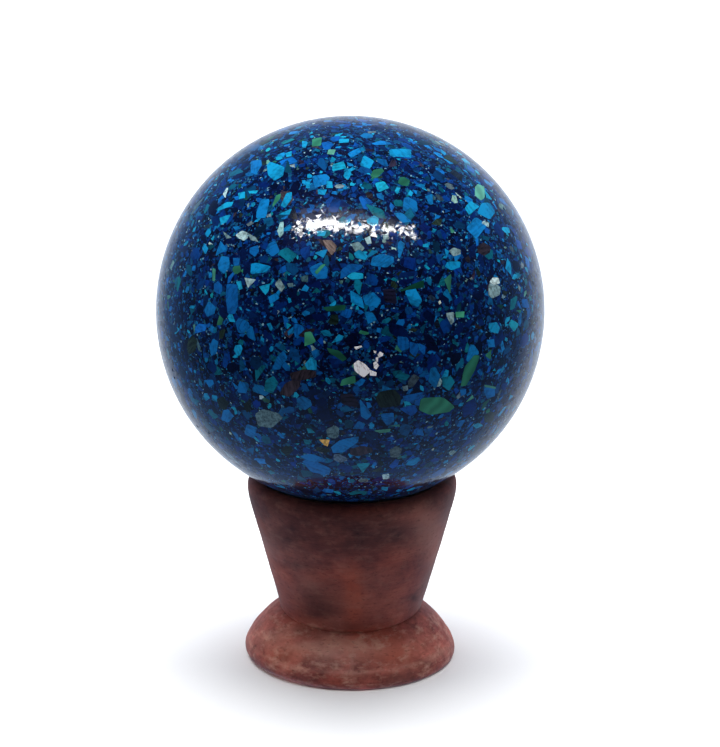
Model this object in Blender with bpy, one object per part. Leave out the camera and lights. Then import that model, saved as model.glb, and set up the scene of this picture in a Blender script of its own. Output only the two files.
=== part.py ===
"""A polished stone-and-resin ball resting in the dish of a turned wooden stand.

Run it with blender --background --python part.py, or from Blender's text editor.
Lengths are in metres. The stand's foot rests on z = 0 and both pieces are turned about the Z axis.
"""

from math import asin, cos, pi, radians, sin, sqrt

import bmesh
import bpy
from mathutils import Vector
from mathutils.geometry import interpolate_bezier

# The ball
BALL_DIAMETER = 0.0700
BALL_SEGMENTS = 64
BALL_RINGS = 32

# The dish in the stand's top, which follows the ball with a small clearance
DISH_DIAMETER = 0.0330
DISH_CLEARANCE = 0.0003

# The stand, from the rounded lip down to the foot
STAND_HEIGHT = 0.0350
LIP_DROP_TO_DISH = 0.0003
LIP_CREST_WIDTH = 0.0010
LIP_WALL = 0.0012
LIP_DEPTH = 0.0050
LIP_SHOULDER = 1.1
LIP_ROUNDNESS = 0.9

NECK_DIAMETER = 0.0262
NECK_GROOVE_DEPTH = 0.0004
NECK_GROOVE_WIDTH = 0.0008

FOOT_DIAMETER = 0.0392
FOOT_HEIGHT = 0.0096
FOOT_EDGE_HEIGHT = 0.0034
FOOT_EDGE_INSET = 0.0007
FOOT_BELLY_HEIGHT = 0.0013
FOOT_UNDERSIDE_INSET = 0.0003
FOOT_DOME_RISE = 0.0004

# How finely the round shapes are divided
STAND_SEGMENTS = 72
DISH_STEPS = 8
LIP_STEPS = 8
DOME_STEPS = 6
SMALL_TURN_STEPS = 3
SHARP_ANGLE = radians(36)
QUARTER_TURN = 0.5523
WELD_DISTANCE = 0.000001

# Finishes: linear base colours and roughness
RESIN_COLOUR = (0.018, 0.090, 0.280, 1.0)
RESIN_ROUGHNESS = 0.12
WOOD_COLOUR = (0.190, 0.068, 0.050, 1.0)
WOOD_ROUGHNESS = 0.55

# Worked out from the sizes above
BALL_RADIUS = BALL_DIAMETER / 2
DISH_RADIUS = BALL_RADIUS + DISH_CLEARANCE
DISH_EDGE_RADIUS = DISH_DIAMETER / 2
DISH_EDGE_HEIGHT = STAND_HEIGHT - LIP_DROP_TO_DISH
BALL_CENTRE_HEIGHT = DISH_EDGE_HEIGHT + sqrt(DISH_RADIUS**2 - DISH_EDGE_RADIUS**2)
LIP_CREST_RADIUS = DISH_EDGE_RADIUS + LIP_CREST_WIDTH
CUP_TOP_RADIUS = LIP_CREST_RADIUS + LIP_WALL
CUP_TOP_HEIGHT = STAND_HEIGHT - LIP_DEPTH
NECK_RADIUS = NECK_DIAMETER / 2
FOOT_RADIUS = FOOT_DIAMETER / 2


def make_material(name, colour, roughness):
    """A Principled material of one colour and one roughness, with no metal in it."""
    material = bpy.data.materials.new(name)
    material.use_nodes = True
    shader = material.node_tree.nodes["Principled BSDF"]
    shader.inputs["Base Color"].default_value = colour
    shader.inputs["Roughness"].default_value = roughness
    shader.inputs["Metallic"].default_value = 0.0
    return material


def add_object(name, bm, material, height=0.0):
    """Turns a bmesh into a smooth-shaded object standing at this height on the Z axis."""
    mesh = bpy.data.meshes.new(name)
    bm.to_mesh(mesh)
    bm.free()
    mesh.materials.append(material)
    mesh.shade_smooth()
    mesh.set_sharp_from_angle(angle=SHARP_ANGLE)
    obj = bpy.data.objects.new(name, mesh)
    obj.location = (0, 0, height)
    bpy.context.scene.collection.objects.link(obj)
    return obj


def arc(centre_r, centre_z, radius, start, end, steps):
    """Points (r, z) on a circular arc; the angles run from straight down towards +r."""
    points = []
    for i in range(steps + 1):
        angle = start + (end - start) * i / steps
        points.append((centre_r + radius * sin(angle), centre_z - radius * cos(angle)))
    return points


def towards(start, end, share):
    """The point (r, z) at this share of the way from start to end."""
    return (start[0] + (end[0] - start[0]) * share, start[1] + (end[1] - start[1]) * share)


def curve(start, start_handle, end_handle, end, steps):
    """Points (r, z) on a Bezier curve between two ends, without its first point."""
    knots = [Vector((r, z)) for r, z in (start, start_handle, end_handle, end)]
    return [(p.x, p.y) for p in interpolate_bezier(*knots, steps + 1)[1:]]


def rounded_corner(start, corner, end, steps):
    """A quarter turn from start to end that cuts off the corner, without its first point."""
    return curve(
        start,
        towards(start, corner, QUARTER_TURN),
        towards(end, corner, QUARTER_TURN),
        end,
        steps,
    )


def dish_profile():
    """The hollow that the ball sits in, from the axis out to its edge."""
    half_angle = asin(DISH_EDGE_RADIUS / DISH_RADIUS)
    return arc(0.0, BALL_CENTRE_HEIGHT, DISH_RADIUS, 0.0, half_angle, DISH_STEPS)


def cup_slope():
    """How far the straight cup wall leans out for each metre that it rises."""
    return (CUP_TOP_RADIUS - NECK_RADIUS) / (CUP_TOP_HEIGHT - FOOT_HEIGHT)


def lip_profile():
    """Over the rounded lip: a short rise to the crest, then a long turn into the cup wall."""
    edge = (DISH_EDGE_RADIUS, DISH_EDGE_HEIGHT)
    crest = (LIP_CREST_RADIUS, STAND_HEIGHT)
    inner = rounded_corner(edge, (DISH_EDGE_RADIUS, STAND_HEIGHT), crest, SMALL_TURN_STEPS)
    reach = LIP_DEPTH * LIP_ROUNDNESS
    outer = curve(
        crest,
        (LIP_CREST_RADIUS + LIP_WALL * LIP_SHOULDER, STAND_HEIGHT),
        (CUP_TOP_RADIUS + reach * cup_slope(), CUP_TOP_HEIGHT + reach),
        (CUP_TOP_RADIUS, CUP_TOP_HEIGHT),
        LIP_STEPS,
    )
    return inner + outer


def neck_profile():
    """The straight wall ends in a small V groove, where the cup meets the foot."""
    half = NECK_GROOVE_WIDTH / 2
    above = (NECK_RADIUS + half * cup_slope(), FOOT_HEIGHT + half)
    bottom = (NECK_RADIUS - NECK_GROOVE_DEPTH, FOOT_HEIGHT)
    below = (NECK_RADIUS + half, FOOT_HEIGHT - half)
    return [above, bottom, below]


def foot_profile():
    """The foot: a bulging cone down to a soft ridge, a rounded side, and the underside's edge."""
    top = neck_profile()[-1]
    ridge = (FOOT_RADIUS - FOOT_EDGE_INSET, FOOT_EDGE_HEIGHT)
    upper = towards(top, ridge, 1 / 3)
    lower = towards(top, ridge, 2 / 3)
    dome = curve(
        top,
        (upper[0] + FOOT_DOME_RISE, upper[1] + FOOT_DOME_RISE),
        (lower[0] + FOOT_DOME_RISE, lower[1] + FOOT_DOME_RISE),
        ridge,
        DOME_STEPS,
    )
    belly = (FOOT_RADIUS, FOOT_BELLY_HEIGHT)
    shoulder = (FOOT_RADIUS, (FOOT_EDGE_HEIGHT + FOOT_BELLY_HEIGHT) / 2)
    side = rounded_corner(ridge, shoulder, belly, SMALL_TURN_STEPS)
    underside_edge = (FOOT_RADIUS - FOOT_UNDERSIDE_INSET, 0.0)
    underside = rounded_corner(belly, (FOOT_RADIUS, 0.0), underside_edge, SMALL_TURN_STEPS)
    return dome + side + underside


def make_ball():
    """The cast ball, a sphere centred at its object's origin."""
    bm = bmesh.new()
    bmesh.ops.create_uvsphere(
        bm, u_segments=BALL_SEGMENTS, v_segments=BALL_RINGS, radius=BALL_RADIUS
    )
    material = make_material("stone and resin", RESIN_COLOUR, RESIN_ROUGHNESS)
    return add_object("ball", bm, material, BALL_CENTRE_HEIGHT)


def make_stand():
    """The stand's half section turned once about the Z axis, closed on the axis at both ends."""
    section = dish_profile() + lip_profile() + neck_profile() + foot_profile() + [(0.0, 0.0)]
    bm = bmesh.new()
    verts = [bm.verts.new((r, 0.0, z)) for r, z in section]
    edges = [bm.edges.new(pair) for pair in zip(verts, verts[1:])]
    bmesh.ops.spin(
        bm,
        geom=verts + edges,
        cent=(0, 0, 0),
        axis=(0, 0, 1),
        angle=2 * pi,
        steps=STAND_SEGMENTS,
        use_merge=True,
    )
    bmesh.ops.remove_doubles(bm, verts=bm.verts, dist=WELD_DISTANCE)
    bmesh.ops.recalc_face_normals(bm, faces=bm.faces)
    material = make_material("turned wood", WOOD_COLOUR, WOOD_ROUGHNESS)
    return add_object("stand", bm, material)


def main():
    for obj in list(bpy.data.objects):
        bpy.data.objects.remove(obj)
    make_stand()
    make_ball()


main()
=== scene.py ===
# %% [markdown]
# # A ball of stone chips on its turned stand
#
# The object has two pieces: a heavy polished ball, cast from crushed stone and dark resin, and a
# small wooden stand that was turned on a lathe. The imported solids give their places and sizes.
# This file gives them their looks, one step to a cell.

# %% Load the frame
from math import cos, pi, radians, sin, tan

import bpy
import numpy as np
from mathutils import Matrix, Vector
from mathutils.geometry import delaunay_2d_cdt


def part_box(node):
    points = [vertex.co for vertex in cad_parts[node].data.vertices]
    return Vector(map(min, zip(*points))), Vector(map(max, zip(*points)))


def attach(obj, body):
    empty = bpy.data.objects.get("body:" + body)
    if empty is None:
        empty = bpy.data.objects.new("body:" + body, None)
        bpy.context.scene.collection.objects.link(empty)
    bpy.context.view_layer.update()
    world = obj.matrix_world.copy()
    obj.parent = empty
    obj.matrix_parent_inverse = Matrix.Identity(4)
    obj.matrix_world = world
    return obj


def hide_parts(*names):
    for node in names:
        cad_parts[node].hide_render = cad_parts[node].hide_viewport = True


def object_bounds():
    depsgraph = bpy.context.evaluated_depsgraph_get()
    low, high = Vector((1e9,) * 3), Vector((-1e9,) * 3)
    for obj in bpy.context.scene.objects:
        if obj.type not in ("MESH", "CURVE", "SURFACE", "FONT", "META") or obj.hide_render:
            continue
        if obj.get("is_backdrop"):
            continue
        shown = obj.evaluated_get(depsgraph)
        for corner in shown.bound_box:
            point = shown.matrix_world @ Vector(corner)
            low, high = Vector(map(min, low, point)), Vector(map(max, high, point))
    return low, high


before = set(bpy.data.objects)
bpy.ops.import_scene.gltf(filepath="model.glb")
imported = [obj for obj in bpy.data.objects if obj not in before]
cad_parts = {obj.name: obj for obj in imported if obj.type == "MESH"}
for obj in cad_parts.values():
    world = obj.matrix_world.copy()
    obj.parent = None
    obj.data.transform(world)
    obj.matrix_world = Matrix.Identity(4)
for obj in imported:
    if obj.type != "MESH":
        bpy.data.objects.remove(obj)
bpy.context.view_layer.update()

MM = 0.001

# %% [markdown]
# ## The measures that the frame gives
#
# The ball's box gives its radius and its centre, and the stand's box gives its height and the
# radius of its foot. So what the solids say isn't typed a second time.

# %% Measure the ball and the stand
ball_low, ball_high = (np.array(corner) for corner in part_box("ball"))
BALL_RADIUS = (ball_high[2] - ball_low[2]) / 2
BALL_CENTRE = (ball_high + ball_low) / 2
BALL_MM = BALL_RADIUS / MM
FOOT_RADIUS_MM, _, STAND_HEIGHT_MM = np.array(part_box("stand")[1]) / MM
print("ball radius in mm:", round(BALL_MM, 2), "stand height:", round(STAND_HEIGHT_MM, 2))

# %% [markdown]
# ## The camera
#
# The outline of a ball says how far a lens is tilted, and the ellipses of the stand's rims say how
# high it stands. Together they put this camera half a metre away, about 15 degrees above the
# ball's centre, with a long lens. The stand's axis lies a little left of the middle of the frame.

# %% Place the camera
PHOTO_WIDTH = 720
PHOTO_HEIGHT = 747
FOCAL_PX = 2716
AXIS_PX = 350.3
CAMERA_DISTANCE = 14 * BALL_RADIUS
CAMERA_ELEVATION = radians(14.88)
CAMERA_PITCH = radians(16.21)
SENSOR = 36

camera_data = bpy.data.cameras.new("camera")
camera_data.lens = SENSOR * FOCAL_PX / PHOTO_HEIGHT
camera_data.sensor_width = SENSOR
camera = bpy.data.objects.new("camera", camera_data)
bpy.context.scene.collection.objects.link(camera)
bpy.context.scene.camera = camera
camera.location = (
    (PHOTO_WIDTH / 2 - AXIS_PX) / FOCAL_PX * CAMERA_DISTANCE,
    -CAMERA_DISTANCE * cos(CAMERA_ELEVATION),
    BALL_CENTRE[2] + CAMERA_DISTANCE * sin(CAMERA_ELEVATION),
)
camera.rotation_euler = (pi / 2 - CAMERA_PITCH, 0, 0)
print("camera at", np.round(np.array(camera.location), 4), "lens in mm:", round(camera_data.lens, 1))

# %% [markdown]
# ## Small helpers
#
# Colours are written as web hex values, which are sRGB. Blender's sockets want linear light, so one
# function turns each value. Another adds a shader node: it takes the node's settings, and for each
# input a value or what feeds it. The last one makes a piece of the model from arrays.


# %% Colour, node and mesh helpers
def linear(hex_colour):
    """The linear RGB of an sRGB hex value: a share of 12.92 near black, and a power of 2.4 above it."""
    srgb = np.array([int(hex_colour[i : i + 2], 16) / 255 for i in (1, 3, 5)])
    return np.where(srgb <= 0.04045, srgb / 12.92, ((srgb + 0.055) / 1.055) ** 2.4)


def set_inputs(made, inputs):
    """Gives inputs, by name or in their order, a value or a hex colour, or links them to a source."""
    for key, value in inputs.items() if isinstance(inputs, dict) else enumerate(inputs):
        if isinstance(value, bpy.types.Node):
            # The colour of a Mix node is its third output. Other nodes give their result first.
            value = value.outputs[2 if value.bl_idname == "ShaderNodeMix" else 0]
        if isinstance(value, bpy.types.NodeSocket):
            made.id_data.links.new(value, made.inputs[key])
        elif isinstance(value, str):
            made.inputs[key].default_value = (*linear(value), 1)
        else:
            made.inputs[key].default_value = value


def node(owner, kind, inputs=(), stops=(), **settings):
    """Adds a shader node to a material or a world, with its settings, inputs and colour stops."""
    made = owner.node_tree.nodes.new("ShaderNode" + kind)
    for name, value in settings.items():
        setattr(made, name, value)
    set_inputs(made, inputs)
    for i, (place, colour) in enumerate(stops):
        ramp = made.color_ramp.elements
        stop = ramp[i] if i < 2 else ramp.new(place)
        stop.position = place
        stop.color = (*linear(colour), 1)
    return made


def new_material(name, inputs):
    """A material whose Principled shader has these inputs, and that shader."""
    material = bpy.data.materials.new(name)
    material.use_nodes = True
    shader = material.node_tree.nodes["Principled BSDF"]
    set_inputs(shader, inputs)
    return material, shader


def new_piece(name, points, face_arrays, node_name):
    """The smooth mesh of a new piece, from points and arrays of faces, which stands for one solid."""
    mesh = bpy.data.meshes.new(name)
    mesh.from_pydata(points, [], [face for faces in face_arrays for face in faces.tolist()])
    mesh.shade_smooth()
    piece = bpy.data.objects.new(name, mesh)
    bpy.context.scene.collection.objects.link(piece)
    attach(piece, "root")
    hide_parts(node_name)
    return mesh


print("half of full sRGB is", linear("#808080")[0].round(3), "of full light")


# %% Helpers for directions, circles and rings
def unit(vectors):
    """Each vector divided by its length."""
    return vectors / np.linalg.norm(vectors, axis=-1, keepdims=True)


def turned_by(turn, along, across):
    """Plane points, turned against the clock: along is their x before the turn, and across their y."""
    return np.stack(
        [along * np.cos(turn) - across * np.sin(turn), along * np.sin(turn) + across * np.cos(turn)], -1
    )


def circle(count):
    """The points (count, 2) of a unit circle, at even steps."""
    turn = 2 * pi * np.arange(count) / count
    return np.stack([np.cos(turn), np.sin(turn)], -1)


def turned(section, circle_points):
    """Rings of points in space: each (r, z) of the section, at each point of the circle."""
    flat_part = section[:, None, :1] * circle_points
    return np.concatenate([flat_part, np.repeat(section[:, None, 1:], len(circle_points), 1)], -1)


def fan(ring, pole):
    """Triangles from each step of a ring of point numbers to a pole that lies on its right."""
    return np.stack([ring, np.full(len(ring), pole), np.roll(ring, -1)], -1)


print("a circle of 4 starts with", circle(4)[:2].round(3).tolist())

# %% [markdown]
# ## Where the chips lie
#
# The ball's surface is a cut through crushed stone, so it shows flat, sharp-cornered chips of every
# size. A cell texture could draw them, but its cells are round and even, and real chips aren't.
# Here each chip is a polygon that is cut into the ball's own mesh, by a triangulation that keeps
# the polygons' edges.
#
# A sphere has no flat map without a hole. Seen from its lowest point, though, every other point has
# its own place in a plane, and small shapes keep their form there. The hole falls at the bottom,
# which the stand's dish hides.


# %% The map from the ball to a plane
def to_plane(directions):
    """The plane point of a unit direction: x and y divided by one more than z."""
    return directions[..., :2] / (1 + directions[..., 2:3])


def to_ball(places):
    """The unit direction of a plane point: the reverse of to_plane."""
    square = (places**2).sum(-1, keepdims=True)
    return np.concatenate([2 * places, 1 - square], -1) / (1 + square)


def spiral_directions(count):
    """Directions spread evenly over a sphere, along a spiral that turns by the golden angle."""
    steps = np.arange(count) + 0.5
    z = 1 - 2 * steps / count
    turn = steps * pi * (3 - 5**0.5)
    ring = np.sqrt(1 - z**2)
    return np.stack([ring * np.cos(turn), ring * np.sin(turn), z], -1)


def tangents(directions):
    """Two unit vectors square to each direction: one level, and one that completes the pair."""
    level = unit(np.cross([0, 0, 1], directions + [1e-9, 0, 0]))
    return level, np.cross(directions, level)


print("the ball's waist lies at", to_plane(np.array([1, 0, 0])), "in the plane")

# %% [markdown]
# ## The shape of a chip
#
# A struck stone breaks along flat faces, so a cut through it has three to six straight sides. The
# corners lie on a stretched circle, at uneven steps round it, which always gives a shape with no
# hollow side. Arrays hold six corners for each chip, and one with fewer repeats its last.

# %% Outlines of many chips at once
MOST_CORNERS = 6
CORNER_SHARES = {3: 0.17, 4: 0.37, 5: 0.30, 6: 0.16}
LOOSE_JITTER = 0.36


def corner_angles(random, corners, most_jitter, start=0):
    """Angles (count, 6) of chips' corners: corner k of n lies near (k + start) / n of a turn."""
    steps = np.minimum(np.arange(MOST_CORNERS), corners - 1)
    jitter = random.uniform(-most_jitter, most_jitter, steps.shape)
    return 2 * pi * (steps + start + np.take_along_axis(jitter, steps, 1)) / corners


def chip_outlines(random, count, longest_stretch):
    """Corners (count, 6, 2) on unit circles that are stretched one way and turned at random."""
    corners = random.choice(list(CORNER_SHARES), count, p=list(CORNER_SHARES.values()))
    angles = corner_angles(random, corners[:, None], LOOSE_JITTER)
    stretch = longest_stretch ** random.uniform(0, 1, (count, 1))
    turn = random.uniform(0, 2 * pi, (count, 1))
    return turned_by(turn, np.cos(angles) * stretch, np.sin(angles) / stretch)


print("share of chips with each number of corners:", CORNER_SHARES)

# %% [markdown]
# ## The kinds of stone
#
# Most chips are copper minerals: blue chrysocolla from navy to turquoise, and banded green
# malachite. Between them lie grey quartz, brown rock and a few pale flakes. Some chips lie a little
# below the surface, so the dark resin over them dims them.

# %% Kinds, their share and their colours
# Each kind: the material that it is made of, its share of the chips, and the two colours it lies between.
KINDS = {
    "deep": ("chrysocolla", 0.17, "#010722", "#021444"),
    "navy": ("chrysocolla", 0.27, "#021a54", "#033a86"),
    "azure": ("chrysocolla", 0.28, "#064694", "#0c76b8"),
    "turquoise": ("chrysocolla", 0.11, "#0880b6", "#149cc6"),
    "teal": ("chrysocolla", 0.07, "#03425a", "#08748c"),
    "malachite": ("malachite", 0.018, "#0c3e32", "#388a6a"),
    "pale_green": ("malachite", 0.006, "#2f7a68", "#68b09a"),
    "grey": ("quartz", 0.026, "#34545e", "#7a969a"),
    "white": ("quartz", 0.007, "#7fa8b0", "#d2e4e0"),
    "brown": ("rock", 0.022, "#1a161e", "#352c34"),
    "pink": ("rock", 0.0, "#463836", "#80706a"),
    "olive": ("rock", 0.045, "#0c1818", "#202e26"),
    "gold": ("brass", 0.0, "#c9822a", "#e8b45c"),
    "silver": ("flake", 0.0, "#e6dcdc", "#fcf6f4"),
}
KIND_NAMES = list(KINDS)
STONES = ["resin", "chrysocolla", "malachite", "quartz", "rock", "brass", "flake"]
kind_stone = np.array([STONES.index(stone) for stone, *_ in KINDS.values()])
kind_dark = np.array([linear(dark) for *_, dark, _ in KINDS.values()])
kind_light = np.array([linear(light) for *_, light in KINDS.values()])
kind_share = np.array([share for _, share, *_ in KINDS.values()])
print("kinds of chip:", len(KINDS), "shares add up to", round(kind_share.sum(), 3))

# %% [markdown]
# ## Loose chips in three sizes
#
# Crushed stone is sieved, but each sieve lets smaller pieces through. Three layers stand for that,
# from the smallest to the largest. A larger chip hides what lies under it, with a thin rim of resin
# round it, and so the chips under it lose corners as the real ones do.

# %% Scatter the chips over the ball
# Each layer: how many, smallest and largest size in mm, the longest stretch, and the resin rim in mm.
LAYERS = [
    (7600, 0.6, 1.25, 1.5, 0.0),
    (3300, 1.2, 2.3, 1.55, 0.05),
    (620, 2.2, 3.6, 1.6, 0.07),
]
LOWEST_CHIP = radians(150)
# How far a chip strays from its even place, as a share of the spacing.
STRAY = 0.42
# A power above 1 makes small chips commoner than large ones.
SMALL_POWER = 1.5

random = np.random.default_rng(20)
outlines, sizes, rims, centres = [], [], [], []
for count, smallest, largest, stretch, rim in LAYERS:
    spacing = (4 * pi / count) ** 0.5
    moved = unit(spiral_directions(count) + random.normal(0, STRAY * spacing, (count, 3)))
    moved = moved[moved[:, 2] > cos(LOWEST_CHIP)]
    sizes.append(smallest * (largest / smallest) ** (random.uniform(0, 1, len(moved)) ** SMALL_POWER))
    outlines.append(chip_outlines(random, len(moved), stretch))
    rims.append(np.full(len(moved), rim))
    centres.append(moved)
centres, sizes, rims, outlines = (np.concatenate(part) for part in (centres, sizes, rims, outlines))
level, rise = tangents(centres)
offsets = outlines * (sizes / 2 / BALL_MM)[:, None, None]
corners = unit(centres[:, None] + offsets[..., :1] * level[:, None] + offsets[..., 1:] * rise[:, None])
kinds = random.choice(len(KINDS), len(sizes), p=kind_share / kind_share.sum())
print("loose chips:", len(sizes), "from", sizes.min().round(2), "to", sizes.max().round(2), "mm")

# %% [markdown]
# ## The chips that the eye knows the ball by
#
# Some chips stand out: a ragged white flake, green slivers, a gold fleck. Each is placed by pixels
# of the photograph: a ray through a pixel meets the ball at the chip's place, with its true slant.
# The most telling chips have their corners listed. The others need only a place, a length, a
# width and a turn, and get their corners as the loose chips do.


# %% Rays from the camera to the ball
def ball_direction(pixels):
    """The unit direction from the ball's centre to where each pixel's ray first meets the ball."""
    across = (pixels[..., 0] - PHOTO_WIDTH / 2) / FOCAL_PX
    up = (PHOTO_HEIGHT / 2 - pixels[..., 1]) / FOCAL_PX
    forward = up * sin(CAMERA_PITCH) + cos(CAMERA_PITCH)
    ray = unit(np.stack([across, forward, up * cos(CAMERA_PITCH) - sin(CAMERA_PITCH)], -1))
    start = np.array(camera.location) - BALL_CENTRE
    along = ray @ start
    under_root = np.maximum(along**2 - start @ start + BALL_RADIUS**2, 0)
    return unit(start + ray * (-along - np.sqrt(under_root))[..., None])


middle = np.array([PHOTO_WIDTH / 2, PHOTO_HEIGHT / 2])
print("the middle of the photograph shows the ball's direction", ball_direction(middle).round(2))

# %% Chips with their own corners
# Each chip: kind, how far from the kind's dark colour to its light one, and then its three to six
# corners, as pixels across and down.
DRAWN_CHIPS = [
    ("malachite", 0.75, 418.6, 410, 421, 398, 443, 397, 455, 407, 449, 412, 430, 415),
    ("malachite", 0.55, 474, 355, 480, 355.6, 475, 370, 466, 386, 460.5, 386, 464.5, 367),
    ("olive", 0.25, 379, 392, 394, 389, 401, 396, 400, 406, 380, 408, 375.5, 399),
    ("azure", 0.35, 403, 396, 423, 392, 420, 398, 412, 403, 403.6, 400),
    ("azure", 0.1, 399, 408.5, 415, 404.5, 417.7, 411, 412, 416.5, 405, 412.5),
    ("azure", 0.8, 359.4, 397.8, 372, 415, 366.8, 420, 361, 416.5),
    ("azure", 0.55, 380, 414, 393.6, 412.5, 394, 420.5, 387, 426, 383, 420.5),
    ("azure", 0.9, 331, 447, 340, 440, 359, 436, 358, 442, 343, 452.5, 333, 453),
    ("teal", 1.2, 442, 378, 451, 376, 455, 382, 449, 391, 442.5, 386),
    ("azure", 0.6, 460, 390, 466, 389, 466, 394, 460.5, 396.4),
    ("grey", 1.0, 446, 313, 454, 312, 454, 322, 451, 325, 447, 317),
    ("malachite", 1.3, 455.5, 312, 464.5, 311.4, 464, 317.4, 456, 317.4),
    ("azure", 0.4, 397.6, 336, 408, 337.5, 409.6, 348, 401.6, 351, 397.6, 345.5),
    ("azure", 0.25, 409.5, 341.5, 417.7, 344, 419, 349.6, 415, 357, 409.8, 352),
    ("azure", 0.8, 364, 310.7, 373.5, 313.4, 376.8, 320, 368, 324),
    ("turquoise", 0.5, 488.7, 323.4, 496.7, 322, 500, 328, 498, 333.5, 491, 332, 488.7, 328),
    ("azure", 0.9, 487, 340, 494, 339, 495, 347, 488.7, 347.5),
    ("azure", 0.7, 484, 386, 495, 387, 495, 396, 487, 399, 484, 392),
    ("pale_green", 0.4, 484, 384.5, 496, 387, 495.5, 389, 485, 387),
    ("pale_green", 0.3, 373.5, 430.6, 391, 428.6, 389.6, 432, 380, 433),
    ("teal", 1.4, 356, 463.4, 370.8, 462.7, 362.8, 472.8),
    ("white", 0.3, 382, 474.5, 389, 473.5, 389.5, 478.5, 383, 479.5),
    ("turquoise", 0.3, 266.7, 165, 270, 161.7, 284.6, 167, 283, 176, 274.4, 180.8, 268, 175),
    ("azure", 0.7, 250.8, 161, 261, 159.7, 262, 165, 256, 175, 250.8, 172.5),
    ("azure", 0.85, 312, 176, 326, 174, 330, 177.6, 327, 184, 314.5, 188),
    ("turquoise", 0.6, 326.5, 181, 332, 181.4, 333, 188, 326.5, 188),
    ("turquoise", 0.3, 305.6, 181.4, 310, 181.4, 310, 188, 306, 188),
    ("turquoise", 0.3, 317.7, 189.5, 327, 189.5, 324.7, 195, 318, 194),
    ("azure", 0.95, 261, 199, 270, 199, 266, 218, 256, 218, 256.5, 212),
    ("turquoise", 0.4, 286.5, 193, 292, 192, 291.6, 199, 285, 208, 280.7, 205.7),
    ("malachite", 0.7, 276, 195.5, 281, 193.5, 280, 199, 273, 207, 272.4, 205),
    ("turquoise", 0.8, 216, 209.5, 226.5, 202, 233.5, 202, 231.6, 206, 217.6, 211),
    ("turquoise", 0.6, 219.5, 218, 226.5, 215.5, 231, 214.6, 226.5, 222, 220.8, 225),
    ("turquoise", 0.8, 238, 193, 245, 191.6, 245, 198, 239, 199),
    ("white", 0.3, 222.7, 194, 226.5, 187.8, 228.4, 187.8, 225.3, 198),
    ("turquoise", 1.0, 248, 191, 258.4, 190.4, 256, 193.5, 249.5, 193.5),
    ("white", 0.3, 235.5, 235, 242, 230.5, 247, 232.4, 248, 237.6, 244, 240.7, 238, 238),
    ("grey", 0.8, 247, 232.4, 256, 237.6, 258.4, 242, 250.8, 240),
    ("grey", 0.5, 222.7, 231, 231.6, 237.6, 226.5, 238.8),
    ("azure", 0.85, 217.6, 265, 221.4, 256, 229, 257, 229.7, 267, 224, 274, 219, 270),
    ("azure", 0.4, 233, 258, 240, 258, 239, 265.6, 233.5, 265.6),
    ("pale_green", 0.2, 212.5, 268, 215.7, 269, 215, 281, 212.5, 281),
    ("azure", 0.6, 268.6, 244, 275, 240, 280, 251.6, 272.4, 256.7, 265.4, 251),
    ("azure", 0.45, 249.5, 248, 258.4, 245, 259, 251.6, 254.6, 256.7, 249.5, 253),
    ("white", 0.2, 244.4, 277.7, 256, 279.6, 248, 288),
    ("turquoise", 0.9, 236, 281.5, 241, 281, 242.5, 288.6, 239, 290),
    ("turquoise", 0.9, 259, 286.7, 270, 283.5, 268.6, 291, 265.4, 295),
    ("grey", 0.9, 276, 282, 280, 279, 285, 287, 281, 292.4, 275, 284.7),
    ("grey", 0.2, 287, 283.5, 293, 283, 293.5, 287, 288.4, 286.7),
    ("grey", 0.0, 300.5, 277, 308, 274.5, 308, 282, 302, 281.6),
    ("azure", 0.35, 226.5, 283.5, 238, 284.7, 238, 305, 235, 314, 227.8, 314, 225.8, 298),
    ("azure", 0.6, 310, 267, 321, 262, 328, 268, 327, 278.4, 317, 279, 310.7, 272),
    ("malachite", 0.9, 314.5, 272, 322, 264.3, 326, 264.3, 317, 274.5),
    ("navy", 0.9, 300.5, 249, 310.7, 245, 309.4, 255.4, 305.6, 260.5, 300.5, 254),
    ("pink", 0.55, 322, 240, 331, 240, 337, 246, 335, 251.5, 331.5, 255.4, 327, 249),
    ("brown", 0.9, 316.5, 238.5, 322, 239.6, 327, 249, 322.5, 245.5),
    ("brown", 0.2, 326.6, 251, 330.6, 254.6, 331.5, 257.5, 327, 255),
    ("turquoise", 0.9, 317, 231, 326.6, 231, 324.7, 236, 317, 236),
    ("malachite", 0.6, 312, 139, 322, 137, 321, 145.7, 312, 146.4),
    ("turquoise", 0.4, 302, 140.6, 308, 142, 305.6, 148, 302, 147),
    ("pale_green", 0.6, 328.6, 149.5, 336, 149.5, 333.7, 154.6, 327, 154),
    ("turquoise", 0.6, 285, 153.4, 291.6, 151, 291.6, 156, 286.5, 157),
    ("turquoise", 0.6, 339, 139, 349, 138.7, 349, 142.5, 339, 143),
    ("grey", 0.35, 255, 414, 263, 409, 278, 413, 283, 418, 272, 428, 258, 426),
    ("silver", 0.9, 353.4, 364, 358, 360, 365, 364, 371.5, 371, 363.4, 377.7, 354.7, 371),
    ("silver", 0.8, 369, 369.5, 376.8, 372.5, 376, 376, 370, 375.5),
    ("silver", 0.8, 377.5, 354.5, 380, 351.5, 383.6, 353.5, 382.8, 355.8, 378.5, 357.8),
    ("silver", 0.6, 375.8, 357.5, 378.3, 357, 377.8, 362, 375.6, 361.5),
    ("silver", 0.7, 373.3, 363, 376, 361, 379, 365.5, 376.4, 369.6, 374, 368),
    ("silver", 0.5, 373.5, 350.5, 376.3, 351, 376, 353.5, 374, 352.8),
    ("silver", 0.9, 354, 347, 361.4, 345.6, 362, 347, 356, 349.6),
    ("malachite", 1.1, 304.5, 332.5, 311, 331.5, 316, 341.5, 311.5, 344, 304.5, 346),
    ("gold", 0.9, 319, 439.6, 329.8, 439.6, 327.8, 446.4, 324.6, 445.4),
]
print("chips with their own corners:", len(DRAWN_CHIPS))

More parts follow.
